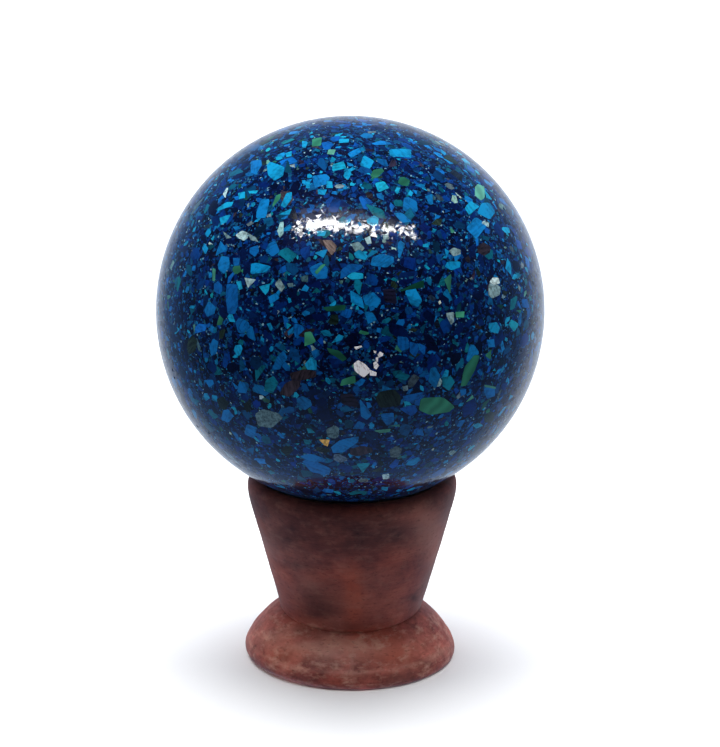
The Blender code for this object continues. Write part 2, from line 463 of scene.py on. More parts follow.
# %% Chips with a place and a size
# Each chip: kind, lightness, corners, pixel across and down, length and width in pixels, turn in degrees.
SIZED_CHIPS = [
    ("malachite", 0.1, 4, 336, 308, 28, 6, 4), ("malachite", 0.0, 3, 411, 286, 28, 12, 14),
    ("malachite", 0.4, 5, 377, 173, 13, 8, 25), ("pale_green", 0.6, 6, 480, 192, 10, 15, 5),
    ("malachite", 0.5, 4, 220, 321, 5, 13, -15), ("malachite", 0.9, 4, 349, 381, 19, 8, 20),
    ("malachite", 0.2, 5, 337, 354, 22, 7, -35), ("olive", 0.8, 6, 192, 345, 9, 18, -8),
    ("turquoise", 0.1, 4, 401, 153, 24, 11, -3), ("turquoise", 0.2, 4, 366, 162, 16, 11, -20),
    ("turquoise", 1.0, 5, 356, 276, 16, 7, 0), ("turquoise", 0.9, 6, 373, 221, 11, 10, 0),
    ("turquoise", 0.6, 4, 472, 208, 13, 13, 40), ("turquoise", 0.0, 5, 486, 211, 16, 16, 25),
    ("azure", 1.0, 4, 477, 228, 20, 19, -45), ("turquoise", 0.2, 5, 453, 265, 15, 9, 12),
    ("azure", 0.85, 6, 382, 261, 22, 13, 10), ("azure", 0.9, 5, 372, 300, 17, 14, -30),
    ("grey", 0.6, 5, 358, 247, 13, 9, -30), ("turquoise", 0.4, 5, 361, 255, 13, 9, -20),
    ("azure", 0.7, 5, 210, 309, 10, 15, -8), ("azure", 0.3, 6, 218, 288, 8, 12, 5),
    ("azure", 0.5, 5, 244, 326, 10, 12, 0), ("azure", 0.7, 5, 214, 347, 8, 17, -10),
    ("azure", 0.6, 5, 280, 361, 9, 22, -35), ("azure", 0.7, 4, 243, 387, 11, 15, -20),
    ("teal", 0.9, 5, 271, 385, 12, 17, -25), ("azure", 0.8, 5, 227, 416, 12, 12, 30),
    ("azure", 0.6, 5, 317, 467, 28, 12, -20), ("azure", 0.8, 5, 313, 458, 24, 7, -10),
    ("azure", 0.8, 4, 251, 431, 15, 12, -30), ("teal", 0.7, 4, 402, 376, 15, 8, -10),
    ("grey", 1.0, 6, 494, 290, 12, 15, 0), ("white", 0.8, 5, 495, 281, 10, 7, 0),
    ("grey", 0.3, 6, 333, 432, 13, 12, 0), ("grey", 0.8, 5, 455, 252, 11, 8, 0),
    ("white", 0.2, 4, 486, 224, 8, 5, -30), ("white", 0.3, 4, 368.6, 240, 7, 8, 20),
    ("grey", 0.9, 4, 386, 237, 6, 7, 0), ("brown", 0.8, 5, 291, 387, 12, 26, -45),
    ("brown", 0.6, 6, 303, 375, 26, 10, 5), ("brown", 0.3, 6, 484, 249, 12, 12, 0),
    ("brown", 0.6, 6, 361, 451, 22, 9, 5),
]
print("chips with a place and a size:", len(SIZED_CHIPS))

# %% Turn the listed chips into outlines on the ball
CORNER_JITTER = 0.26
# Corners lie at 0.58 of the length and width, so that the flat sides between them lie at about half.
CORNER_REACH = 0.58

key = np.random.default_rng(7)
drawn_pixels = np.array([row[2:] + row[-2:] * (MOST_CORNERS + 1 - len(row) // 2) for row in DRAWN_CHIPS])
drawn_pixels = drawn_pixels.reshape(-1, MOST_CORNERS, 2)
sized = np.array([row[2:] for row in SIZED_CHIPS], float)
angles = corner_angles(key, sized[:, :1].astype(int), CORNER_JITTER, 0.5)
along = np.cos(angles) * sized[:, 3:4] * CORNER_REACH
across = np.sin(angles) * sized[:, 4:5] * CORNER_REACH
# Pixels count downwards, so the outline's second coordinate changes its sign.
sized_pixels = sized[:, None, 1:3] + turned_by(np.radians(sized[:, 5:]), along, across) * [1, -1]
key_rows = SIZED_CHIPS + DRAWN_CHIPS
key_kinds = np.array([KIND_NAMES.index(row[0]) for row in key_rows])
key_tones = np.array([row[1] for row in key_rows])
key_corners = ball_direction(np.concatenate([sized_pixels, drawn_pixels]))
key_centres = unit(key_corners.mean(1))
key_sizes = 2 * BALL_MM * np.linalg.norm(key_corners - key_centres[:, None], axis=-1).mean(1)
print("chips placed by hand:", len(key_rows), "largest in mm:", key_sizes.max().round(1))

# %% Join both kinds of chip into one stack, the topmost last
KEY_RIM = 0.06
BLUNT_SIZE = 1.9
BLUNT_SHARE = 0.11

loose = len(sizes)
centres = np.concatenate([centres, key_centres])
corners = np.concatenate([corners, key_corners])
sizes = np.concatenate([sizes, key_sizes])
rims = np.concatenate([rims, np.full(len(key_rows), KEY_RIM)])
kinds = np.concatenate([kinds, key_kinds])
# Large chips are tumbled blunt: two points, a ninth of the way along both sides, replace a corner.
blunt = np.where(sizes > BLUNT_SIZE, BLUNT_SHARE, 0)[:, None, None]
before, after = np.roll(corners, 1, 1), np.roll(corners, -1, 1)
corners = np.stack([corners + blunt * (before - corners), corners + blunt * (after - corners)], 2)
corners = unit(corners.reshape(len(sizes), -1, 3))
rim_scale = 1 + 2 * rims / sizes
rim_corners = unit(centres[:, None] + (corners - centres[:, None]) * rim_scale[:, None, None])
has_rim = np.flatnonzero(rims)
stack = np.concatenate([corners, rim_corners[has_rim]])
# A chip's rank is odd, and its rim lies one rank below it.
rank = np.concatenate([2 * np.arange(len(sizes)) + 1, 2 * has_rim])
print("outlines in the stack:", len(stack))

# %% The colour of each chip
COLOUR_SPREAD = 0.08
SUNK_SHARE = 0.42
SUNK_RANGE = (0.35, 0.9)
RESIN_TINT = linear("#030a28")

tone = np.concatenate([random.uniform(0, 1, loose), key_tones])
is_sunk = random.uniform(0, 1, len(sizes)) < SUNK_SHARE
sunk = np.where(is_sunk, random.uniform(*SUNK_RANGE, len(sizes)), 0)[:, None]
sunk[loose:] = 0
colours = kind_dark[kinds] + (kind_light - kind_dark)[kinds] * tone[:, None]
colours[:loose] *= np.exp(random.normal(0, COLOUR_SPREAD, (loose, 3)))
colours = colours * (1 - sunk) + RESIN_TINT * sunk
print("chips that lie under the surface:", np.count_nonzero(sunk))

# %% [markdown]
# ## Pits
#
# Where a crumb was torn out in grinding, a pit of less than a millimetre is left. It is a real
# hollow in the mesh: rings of points are given to the triangulation and pushed in afterwards. Its
# colour is darkened too, as painted shade in the hollow.

# %% Place the pits
# Each pit in the photograph: pixel across and down, and its diameter in mm.
SEEN_PITS = [
    (160, 350, 0.5), (172.5, 370, 0.6), (174.4, 377.6, 0.6), (197.4, 426.4, 0.8), (209, 433, 0.5),
    (504, 209, 0.5),
]
OTHER_PITS = 16
# The other pits are drawn at random, and this way draws them to the back and the top.
OTHER_WAY = [0, 1.2, 0.4]
OTHER_SIZES = (0.4, 0.8)
PIT_DEPTH = 0.25
PIT_SIDES = 12
PIT_RINGS = (0.4, 0.75, 1.0)

seen = np.array(SEEN_PITS)
others = unit(random.normal(0, 1, (OTHER_PITS, 3)) + OTHER_WAY)
others = others[others[:, 2] > cos(LOWEST_CHIP)]
pit_centres = np.concatenate([ball_direction(seen[:, :2]), others])
pit_radii = np.concatenate([seen[:, 2], random.uniform(*OTHER_SIZES, len(others))]) / 2 / BALL_MM
level, rise = tangents(pit_centres)
pit_across, pit_up = circle(PIT_SIDES).T[..., None]
pit_circles = pit_across * level[:, None] + pit_up * rise[:, None]
pit_points = [pit_centres[:, None]]
for share in PIT_RINGS:
    pit_points.append(pit_centres[:, None] + (share * pit_radii)[:, None, None] * pit_circles)
pit_points = unit(np.concatenate(pit_points, 1).reshape(-1, 3))
print("pits:", len(pit_centres))

# %% [markdown]
# ## Cutting the chips into the ball
#
# A constrained triangulation keeps every edge that it is given, so each triangle lies wholly inside
# or outside each chip. The chips claim their triangles from the lowest up, and the topmost keeps
# them. Many edges run hidden under a larger chip, so the ball is cut twice: the second cut gets
# only the edges that part two owners, with even points that keep large chips round.

# %% The cut, and who owns each triangle
MERGE = 1e-6
flat = to_plane(stack)


def cut(given, edges):
    """Corners and triangles of a triangulation that keeps all edges between the given plane points."""
    points, _, triangles, *_ = delaunay_2d_cdt(
        [Vector(place) for place in given], [tuple(edge) for edge in edges.tolist()], [], 0, MERGE, False
    )
    return np.array([tuple(point) for point in points]), np.array(triangles)


def owners(points, triangles):
    """The topmost chip over each triangle's middle, or -1 for resin, where rims count as resin."""
    middles = points[triangles].mean(1)
    order = np.argsort(middles[:, 0])
    across, down = middles[order].T
    low, high = flat.min(1), flat.max(1)
    starts = np.searchsorted(across, low[:, 0])
    ends = np.searchsorted(across, high[:, 0])
    ways = np.roll(flat, -1, 1) - flat
    turn = np.sign(np.cross(flat - flat[:, :1], ways).sum(1))
    owner = np.full(len(middles), -1)
    for i in np.argsort(rank):
        strip = down[starts[i] : ends[i]]
        near = order[starts[i] : ends[i]][(strip > low[i, 1]) & (strip < high[i, 1])]
        sides = np.cross(ways[i], middles[near][:, None] - flat[i]) * turn[i]
        owner[near[(sides >= -1e-12).all(1)]] = rank[i] // 2 if rank[i] % 2 else -1
    return owner


print("widest outline in the plane:", round(float(np.ptp(flat, axis=1).max()), 3))

# %% First cut: every edge
HOLE_START = radians(156)
HOLE_CORNERS = 96

hole_circle = circle(HOLE_CORNERS)
first = np.arange(stack[..., 0].size).reshape(len(stack), -1)
chip_edges = np.stack([first, np.roll(first, -1, 1)], -1).reshape(-1, 2)
ring_numbers = flat.size // 2 + np.arange(HOLE_CORNERS)
ring_edges = np.stack([ring_numbers, np.roll(ring_numbers, -1)], -1)
points, triangles = cut(
    np.concatenate([flat.reshape(-1, 2), tan(HOLE_START / 2) * hole_circle]),
    np.concatenate([chip_edges, ring_edges]),
)
owner = owners(points, triangles)
print("first cut:", len(triangles), "triangles")

# %% Second cut: only the edges that show
FILL_POINTS = 6500
FILL_MARGIN = radians(1.5)

sides = np.sort(triangles[:, [[0, 1], [1, 2], [2, 0]]].reshape(-1, 2), axis=1)
side_numbers, which, uses = np.unique(sides @ [len(points), 1], return_inverse=True, return_counts=True)
least = np.full(len(side_numbers), len(sizes))
most = np.full(len(side_numbers), -1)
np.minimum.at(least, which.ravel(), np.repeat(owner, 3))
np.maximum.at(most, which.ravel(), np.repeat(owner, 3))
shown = side_numbers[(least != most) | (uses == 1)]
used, shown_edges = np.unique(np.stack([shown // len(points), shown % len(points)], -1), return_inverse=True)
even = spiral_directions(FILL_POINTS)
even = even[even[:, 2] > cos(HOLE_START - FILL_MARGIN)]
points, triangles = cut(
    np.concatenate([points[used], to_plane(even), to_plane(pit_points)]), shown_edges.reshape(-1, 2)
)
owner = owners(points, triangles)
print("second cut:", len(triangles), "triangles, of which chips own", round(float((owner >= 0).mean()), 2))

# %% [markdown]
# ## Closing the ball, and its polish
#
# Rings of faces close the hidden hole. Grinding wears soft resin a little faster than stone, so
# each chip ends up tilted by about a degree. The eye sees it only in the highlight, whose edge
# turns ragged. The tilt goes into the mesh's normals, and the surface itself stays round.

# %% Close the hole and push in the pits
HOLE_RINGS = 5

surface = to_ball(points)
# The corners on the hole's edge, put in order by their angle round the pole.
on_ring = np.flatnonzero(np.linalg.norm(points, axis=1) > tan(HOLE_START / 2) - 1e-5)
edge_ring = on_ring[np.argsort(np.arctan2(points[on_ring, 1], points[on_ring, 0]) % (2 * pi - 1e-6))]
angles = HOLE_START + (pi - HOLE_START) * np.arange(1, HOLE_RINGS) / HOLE_RINGS
cap = turned(np.stack([np.sin(angles), np.cos(angles)], -1), hole_circle).reshape(-1, 3)
cap_numbers = len(surface) + np.arange(len(cap)).reshape(HOLE_RINGS - 1, HOLE_CORNERS)
rings = np.concatenate([edge_ring[None], cap_numbers])
upper, lower = rings[:-1], rings[1:]
upper_next, lower_next = np.roll(upper, -1, 1), np.roll(lower, -1, 1)
cap_faces = np.concatenate(
    [
        np.stack([upper, lower, upper_next], -1).reshape(-1, 3),
        np.stack([upper_next, lower, lower_next], -1).reshape(-1, 3),
        fan(rings[-1], len(surface) + len(cap)),
    ]
)
surface = np.concatenate([surface, cap, [[0, 0, -1]]])
# A pit is a bowl: its depth falls off with the square of the distance from its middle.
pit_share = np.linalg.norm(surface[:, None] - pit_centres, axis=-1) / pit_radii
hollow = np.clip(1 - pit_share**2, 0, 1).max(1)
sunk_surface = surface * (1 - hollow * PIT_DEPTH / BALL_MM)[:, None]
faces = np.concatenate([triangles, cap_faces])
owner = np.concatenate([owner, np.full(len(cap_faces), -1)])
a, b, c = (surface[faces[:, i]] for i in range(3))
inward = (np.cross(b - a, c - a) * (a + b + c)).sum(1) < 0
faces[inward] = faces[inward][:, ::-1]
print("corners on the hole's edge:", len(edge_ring), "faces turned outwards:", inward.sum())

# %% Make the ball's mesh, with each chip tilted
CHIP_TILT = radians(1.1)
# Chips wider than this, in mm, were held more level by the wheel.
LEVEL_SIZE = 0.8

ball_points = BALL_CENTRE + BALL_RADIUS * sunk_surface
ball_mesh = new_piece("ball_chips", ball_points, [faces], "ball")
is_chip = owner >= 0
face_stone = np.where(is_chip, kind_stone[kinds[owner]], 0)
ball_mesh.polygons.foreach_set("material_index", face_stone.astype(np.int32))
tilt = random.normal(0, CHIP_TILT, (len(sizes), 3)) * np.minimum(LEVEL_SIZE / sizes, 1)[:, None]
corner_directions = surface[faces]
loose_tilt = random.normal(0, CHIP_TILT, (len(faces), 3))
normals = unit(corner_directions + np.where(is_chip[:, None], tilt[owner], loose_tilt)[:, None])
# A pit's own faces keep the slope that its hollow gives them.
in_pit = hollow[faces].max(1) > 0.01
a, b, c = (sunk_surface[faces[in_pit, i]] for i in range(3))
pit_normals = np.cross(b - a, c - a)
pit_normals /= np.linalg.norm(pit_normals, axis=1, keepdims=True) + 1e-20
normals[in_pit] = pit_normals[:, None]
ball_mesh.normals_split_custom_set(normals.reshape(-1, 3))
print("ball mesh:", len(ball_mesh.vertices), "points,", len(ball_mesh.polygons), "triangles")

# %% Write each chip's colour and its own axes on the mesh
# How far a pit's colour is darkened: painted shade in its hollow.
PIT_PAINTED_SHADE = 0.85
# The third coordinate is one random number for each chip, so no two show the same pattern.
PATTERN_RANGE = 50

level, rise = tangents(centres)
spin = random.uniform(0, 2 * pi, len(sizes))[:, None]
own_x = level * np.cos(spin) + rise * np.sin(spin)
own_y = rise * np.cos(spin) - level * np.sin(spin)
away = (corner_directions - centres[owner][:, None]) * BALL_MM
own = random.uniform(0, PATTERN_RANGE, len(sizes))[owner][:, None]
x, y = ((away * own_axis[owner][:, None]).sum(-1) for own_axis in (own_x, own_y))
places = np.stack([x, y, np.repeat(own, 3, 1)], -1)
corner_colours = np.ones((len(faces), 3, 4))
corner_colours[..., :3] = np.where(is_chip[:, None], colours[owner], RESIN_TINT)[:, None]
# Pits get painted shade: their colour is darkened towards their middle.
corner_colours[..., :3] *= 1 - PIT_PAINTED_SHADE * np.minimum(2 * hollow[faces], 1)[..., None]
colour_layer = ball_mesh.attributes.new("chip_colour", "FLOAT_COLOR", "CORNER")
colour_layer.data.foreach_set("color", corner_colours.ravel())
place_layer = ball_mesh.attributes.new("chip_place", "FLOAT_VECTOR", "CORNER")
place_layer.data.foreach_set("vector", np.where(is_chip[:, None, None], places, 0).ravel())
print("mean colour of the ball's corners:", corner_colours[..., :3].mean((0, 1)).round(3))

# %% [markdown]
# ## The polish
#
# Stone and resin are ground together on one wheel, so they share one polish: a sharp gloss with a
# trace of haze from wax, and a very fine unevenness. That is a few thousandths of a millimetre
# deep, so nothing but the edge of the highlight shows it.

# %% One polish for stone and resin
POLISH = {
    # A sharp gloss, which shows the lamp as a bright bar with clear ends.
    "Roughness": 0.05,
    "IOR": 1.54,
    "Specular IOR Level": 0.3,
    # A trace of wax, which spreads a faint haze round that bar.
    "Coat Weight": 0.05,
    "Coat Roughness": 0.35,
    # Handling leaves a film, which pales the ball towards its edge.
    "Sheen Weight": 0.13,
    "Sheen Roughness": 0.3,
    "Sheen Tint": (0.25, 0.45, 0.9, 1),
}


def polished(name):
    """A polished material, and the place in mm on the chip's own axes, which the mesh carries."""
    material, shader = new_material(name, POLISH)
    place = node(material, "TexCoord").outputs["Object"]
    # The wheel's marks are 0.4 mm across and less than 0.006 mm deep.
    marks = node(
        material, "TexNoise", {"Vector": place, "Scale": 1 / (0.4 * MM), "Detail": 4, "Roughness": 0.7}
    )
    worn = node(material, "Bump", {"Strength": 1, "Distance": 0.006 * MM, "Height": marks})
    set_inputs(shader, {"Normal": worn})
    return material, node(material, "Attribute", attribute_name="chip_place").outputs["Vector"]


def tinted(material, pattern, low, high, darkest, lightest):
    """The chip's colour, times darkest where the pattern is low and times lightest where it is high."""
    share = node(material, "MapRange", [pattern, low, high, darkest, lightest])
    chip_colour = node(material, "Attribute", attribute_name="chip_colour")
    scaled = node(material, "VectorMath", {0: chip_colour, "Scale": share}, operation="SCALE")
    set_inputs(material.node_tree.nodes["Principled BSDF"], {"Base Color": scaled})


print("polish:", POLISH["Roughness"], "rough, index", POLISH["IOR"])

# %% [markdown]
# ## The resin between the chips
#
# Casting resin dyed navy, full of stone dust and splinters too small to cut by hand. Cells of three
# sizes stand for them: dim shapes deep in the resin, splinters of half a millimetre, and pale dust.

# %% Casting resin
# Each: cell size in mm, share kept, gap to the cell's edge, and the colours of its cells.
RESIN_CELLS = [
    (2.0, 0.50, 0.03, [(0, "#020618"), (0.5, "#030e32"), (1, "#041440")]),
    (0.62, 0.46, 0.06, [(0, "#03133a"), (0.45, "#042460"), (0.8, "#073c6a"), (1, "#164e66")]),
    (0.34, 0.20, 0.08, [(0, "#041b4a"), (0.6, "#063e78"), (0.9, "#1c6a90"), (1, "#86aebc")]),
]

# To the eye this is a dark, glassy ground with specks in it that never repeat.
resin, _ = polished("dyed casting resin, ground and polished")
place = node(resin, "TexCoord").outputs["Object"]
colour = node(resin, "Attribute", attribute_name="chip_colour")
for cell, kept, gap, stops in RESIN_CELLS:
    size = {"Vector": place, "Scale": 1 / (cell * MM)}
    picks = node(resin, "SeparateColor", [node(resin, "TexVoronoi", size).outputs["Color"]])
    borders = node(resin, "TexVoronoi", size, feature="DISTANCE_TO_EDGE")
    chosen = node(resin, "Math", [picks.outputs["Red"], 1 - kept], operation="GREATER_THAN")
    within = node(resin, "Math", [borders, gap], operation="GREATER_THAN")
    mask = node(resin, "Math", [chosen, within], operation="MULTIPLY")
    tint = node(resin, "ValToRGB", {"Fac": picks.outputs["Green"]}, stops)
    colour = node(resin, "Mix", {0: mask, 6: colour, 7: tint}, data_type="RGBA")
set_inputs(resin.node_tree.nodes["Principled BSDF"], {"Base Color": colour})
print("resin nodes:", len(resin.node_tree.nodes))

# %% [markdown]
# ## Blue stone
#
# Chrysocolla is an opaque copper silicate. A chip of it is one clear blue that fades across it, with
# clouds of about a millimetre and finer veins. The mesh carries each chip's own colour and axes.

# %% Chrysocolla
# To the eye each chip has one blue of its own, clouded and veined as ore is.
chrysocolla, place = polished("chrysocolla chip, ground and polished")
clouds = node(chrysocolla, "TexNoise", {"Vector": place, "Scale": 1.1, "Detail": 5, "Roughness": 0.65})
cloud_share = node(chrysocolla, "MapRange", [clouds, 0.3, 0.7, 0.5, 1.3])
axes = node(chrysocolla, "SeparateXYZ", [place])
# Some chips fade strongly from one side to the other, over 3 mm, and some hardly at all.
draw = node(chrysocolla, "TexWhiteNoise", {"W": axes.outputs["Z"]}, noise_dimensions="1D")
dark_end, light_end = (
    node(chrysocolla, "MapRange", [draw, 0.3, 1, 0.95, furthest]) for furthest in (0.3, 1.8)
)
fade = node(chrysocolla, "MapRange", [axes, -1.5, 1.5, dark_end, light_end])
both = node(chrysocolla, "Math", [cloud_share, fade], operation="MULTIPLY")
# The stone grew in veins, so pale and dark lines run along it, about 0.4 mm apart.
along_veins = node(chrysocolla, "Mapping", {"Vector": place, "Scale": (2.4, 0.35, 1)})
veins = node(chrysocolla, "TexNoise", {"Vector": along_veins, "Scale": 1, "Detail": 3, "Roughness": 0.6})
vein_share = node(chrysocolla, "MapRange", [veins, 0.35, 0.68, 0.72, 1.4])
shown_share = node(chrysocolla, "Math", [both, vein_share], operation="MULTIPLY")
tinted(chrysocolla, shown_share, 0, 1, 0, 1)
print("chrysocolla nodes:", len(chrysocolla.node_tree.nodes))

# %% [markdown]
# ## The rarer stones
#
# Each has a pattern of its own, which multiplies the chip's colour. Malachite grew in layers, so it
# is banded. Quartz holds clouds and specks. Brown rock is streaked one way. A filing of brass and
# a crumpled pale flake catch the eye, but they lie under the same polish. What shows of them is a
# broken colour, from the scratches and creases in them: their light and dark is painted into it,
# as painted glints on the brass and painted reflections on the flake.

# %% Malachite, quartz and rock
# The bands of malachite give the eye soft stripes of lighter and darker green.
malachite, place = polished("banded malachite chip, ground and polished")
bands = node(malachite, "TexWave", {"Vector": place, "Scale": 0.12, "Distortion": 8, "Detail": 4})
tinted(malachite, bands.outputs["Fac"], 0, 1, 0.72, 1.12)

# Specks of about 0.7 mm make quartz look cloudy and a little deep.
quartz, place = polished("clouded quartz chip, ground and polished")
specks = node(quartz, "TexNoise", {"Vector": place, "Scale": 1.5, "Detail": 4, "Roughness": 0.7})
tinted(quartz, specks, 0.36, 0.62, 0.4, 1.4)

# Streaks of 2 mm by 0.5 mm give brown rock its grain.
rock, place = polished("streaked brown rock chip, ground and polished")
drawn = node(rock, "Mapping", {"Vector": place, "Scale": (0.5, 2.4, 1)})
streaks = node(rock, "TexNoise", {"Vector": drawn, "Scale": 0.9, "Detail": 5, "Roughness": 0.7})
tinted(rock, streaks, 0.38, 0.64, 0.45, 1.9)
print("stones with a pattern:", malachite.name, quartz.name, rock.name, sep="; ")

# %% Brass and flake
# Scratches of half a millimetre break the gold of brass into light and dark, as painted glints in its
# colour.
brass, place = polished("brass filing, ground and polished")
painted_glints = node(brass, "TexNoise", {"Vector": place, "Scale": 2.0, "Detail": 3})
tinted(brass, painted_glints, 0.35, 0.65, 0.5, 1.4)

# Creases all run one way, so the flake looks folded; their light and dark is painted reflection in its
# colour.
flake, place = polished("pale metal flake in the resin")
pulled = node(flake, "Mapping", {"Vector": place, "Scale": (0.6, 2.2, 1)})
creases_and_painted_reflections = node(flake, "TexNoise", {"Vector": pulled, "Scale": 1.3, "Detail": 4, "Roughness": 0.7})
tinted(flake, creases_and_painted_reflections, 0.34, 0.52, 0.5, 1.25)

# The order is that of STONES, since each face holds its stone's number.
for material in (resin, chrysocolla, malachite, quartz, rock, brass, flake):
    ball_mesh.materials.append(material)
print("materials of the ball:", len(ball_mesh.materials))

# %% [markdown]
# ## The shape of the stand
#
# A lathe leaves one outline all the way round: a shallow dish for the ball, a rounded lip, a
# straight tapering cup, a small groove, and a foot with a soft ridge. The outline is drawn as a
# chain of arcs, curves and lines, with the sizes of the solid stand, and then spaced evenly.


# %% Curves for the outline
def bezier(start, start_handle, end_handle, end, steps=60):
    """Points (r, z) on a cubic: the given points times (1-t)^3, 3t(1-t)^2, 3t^2(1-t) and t^3."""
    t = np.linspace(0, 1, steps)[:, None]
    knots = [np.array(knot) for knot in (start, start_handle, end_handle, end)]
    weights = [(1 - t) ** 3, 3 * t * (1 - t) ** 2, 3 * t**2 * (1 - t), t**3]
    return sum(weight * knot for weight, knot in zip(weights, knots))


def rounded_corner(start, corner, end):
    """A quarter turn from start to end, whose handles reach 0.5523 of the way to the corner."""
    start_handle, end_handle = (np.array(p) + (np.array(corner) - p) * 0.5523 for p in (start, end))
    return bezier(start, start_handle, end_handle, end)


print("a rounded corner of 1 mm passes", rounded_corner((1, 0), (1, 1), (0, 1))[30].round(2))

# %% The outline of the stand, as radius and height in mm
DISH_EDGE = (16.5, 34.7)
LIP_CREST = (17.5, STAND_HEIGHT_MM)
LIP_HANDLE = (18.82, STAND_HEIGHT_MM)
CUP_TOP = (18.7, 30.0)
CUP_HANDLE = 4.5
NECK = (13.1, 9.6)
GROOVE_HALF = 0.4
FOOT_BULGE = 0.4
RIDGE = (18.9, 3.4)
BELLY = (FOOT_RADIUS_MM, 1.3)
UNDERSIDE_EDGE = (18.6, 0.0)

slope = (CUP_TOP[0] - NECK[0]) / (CUP_TOP[1] - NECK[1])
ball_height = BALL_CENTRE[2] / MM
dish_radius = ((ball_height - DISH_EDGE[1]) ** 2 + DISH_EDGE[0] ** 2) ** 0.5
dish_turn = np.linspace(0, np.arcsin(DISH_EDGE[0] / dish_radius), 60)
dish = np.stack([dish_radius * np.sin(dish_turn), ball_height - dish_radius * np.cos(dish_turn)], -1)
below_groove = np.array([NECK[0] + GROOVE_HALF, NECK[1] - GROOVE_HALF])
way = np.array(RIDGE) - below_groove
foot_handles = [below_groove + way / 3 + FOOT_BULGE, below_groove + way * 2 / 3 + FOOT_BULGE]
outline = np.concatenate(
    [
        dish,
        rounded_corner(DISH_EDGE, (DISH_EDGE[0], LIP_CREST[1]), LIP_CREST),
        bezier(LIP_CREST, LIP_HANDLE, (CUP_TOP[0] + CUP_HANDLE * slope, CUP_TOP[1] + CUP_HANDLE), CUP_TOP),
        [(NECK[0] + GROOVE_HALF * slope, NECK[1] + GROOVE_HALF), (NECK[0] - GROOVE_HALF, NECK[1])],
        bezier(below_groove, *foot_handles, RIDGE),
        rounded_corner(RIDGE, (BELLY[0], (RIDGE[1] + BELLY[1]) / 2), BELLY),
        rounded_corner(BELLY, (BELLY[0], 0), UNDERSIDE_EDGE),
        [(0.0, 0.0)],
    ]
)
lengths = np.r_[0, np.cumsum(np.linalg.norm(np.diff(outline, axis=0), axis=1))]
print("outline of the stand:", round(lengths[-1], 1), "mm long")

# %% Space the outline evenly: finely on the side that shows, coarsely on dish and underside
FINE_STEP = 0.17
COARSE_STEP = 1.0
# The relief fades out over this length, in mm, towards the dish and the underside.
FADE = 1.5

crest_at = lengths[len(dish)]
side_end = lengths[-2]
stations = np.concatenate(
    [
        np.arange(COARSE_STEP, crest_at - COARSE_STEP, COARSE_STEP),
        np.arange(crest_at - COARSE_STEP, side_end, FINE_STEP),
        np.arange(side_end, lengths[-1] - COARSE_STEP, COARSE_STEP),
    ]
)
profile = np.stack([np.interp(stations, lengths, outline[:, i]) for i in range(2)], -1)
radii, heights = profile.T
along = unit(np.gradient(profile, stations, axis=0))
outwards = np.stack([-along[:, 1], along[:, 0]], -1)
on_side = np.interp(stations, [crest_at, crest_at + FADE, side_end - FADE, side_end], [0, 1, 1, 0])
print("rings of points on the stand:", len(stations))

# %% [markdown]
# ## Turning the outline, with the marks of hand work
#
# The chisel leaves fine rings, and sanding by hand leaves a surface that waves by less than a tenth
# of a millimetre. A sum of sine waves in random directions gives such a smooth wandering height.
# The seam at the neck dips at the front, and the foot's lower edge is rubbed away on the left.

# %% Turn it, out of true as the real one is
STAND_SEGMENTS = 320
# The cup's lower end was cut out of true: the seam lies this much lower at the front, in mm.
SEAM_DIP = 0.85
SEAM_REACH = 1.8
SEAM_FOCUS = 1.3
# The foot sits a quarter of a millimetre to the left, and the cup as far to the right.
LEAN_HEIGHTS = [0, 2, 9.2, 10, 22, 35]
LEAN = [-0.1, -0.28, -0.28, 0.06, 0.25, 0.28]
# The foot's lower edge is rubbed away at the left of the front, by 0.6 mm at the most.
WORN_TURN = radians(222)
WORN_DEPTH = 0.6
WORN_FOCUS = 4
WORN_HEIGHTS = [0.5, 3.2]
WORN_RADII = [14.5, 18.2]

stand_circle = circle(STAND_SEGMENTS)
plain = turned(profile, stand_circle)
near_seam = np.exp(-(((heights - NECK[1]) / SEAM_REACH) ** 2)) * on_side
plain[..., 2] -= SEAM_DIP * near_seam[:, None] * np.clip(-stand_circle[:, 1], 0, 1) ** SEAM_FOCUS
plain[..., 0] += (on_side * np.interp(heights, LEAN_HEIGHTS, LEAN))[:, None]
near_edge = np.interp(heights, WORN_HEIGHTS, [1, 0]) * np.interp(radii, WORN_RADII, [0, 1])
worn_way = stand_circle @ [cos(WORN_TURN), sin(WORN_TURN)]
worn = WORN_DEPTH * near_edge[:, None] * np.exp(WORN_FOCUS * (worn_way - 1))
plain[..., :2] *= 1 - (worn / radii[:, None])[..., None]
# What is rubbed off sideways also lifts the edge a little.
plain[..., 2] += worn / 4
print("most rubbed off the foot in mm:", worn.max().round(2))


# %% Push the relief in and make the stand's mesh
def wander(places, size, seed, waves=24):
    """A smooth random height of about 1: the sum of sine waves about `size` long in random directions."""
    dice = np.random.default_rng(seed)
    directions = dice.normal(0, 1, (waves, 3))
    directions *= dice.uniform(0.6, 1.5, (waves, 1)) / np.linalg.norm(directions, axis=1, keepdims=True)
    phases = dice.uniform(0, 2 * pi, waves)
    return np.sin(places @ directions.T * (2 * pi / size) + phases).sum(-1) / (waves / 2) ** 0.5


# Each wave of the surface, in mm: its length, its seed, its height, and how much more it has on the foot.
HAND_WAVES = [(16, 3, 0.03, 0.0), (4.5, 4, 0.01, 0.012), (1.6, 5, 0.0, 0.008)]
# The chisel's rings: their height in mm, and the two pitches that beat together.
RING_HEIGHT = 0.005
RING_PITCHES = (0.62, 1.37)
FOOT_TOP = [8.5, 10]

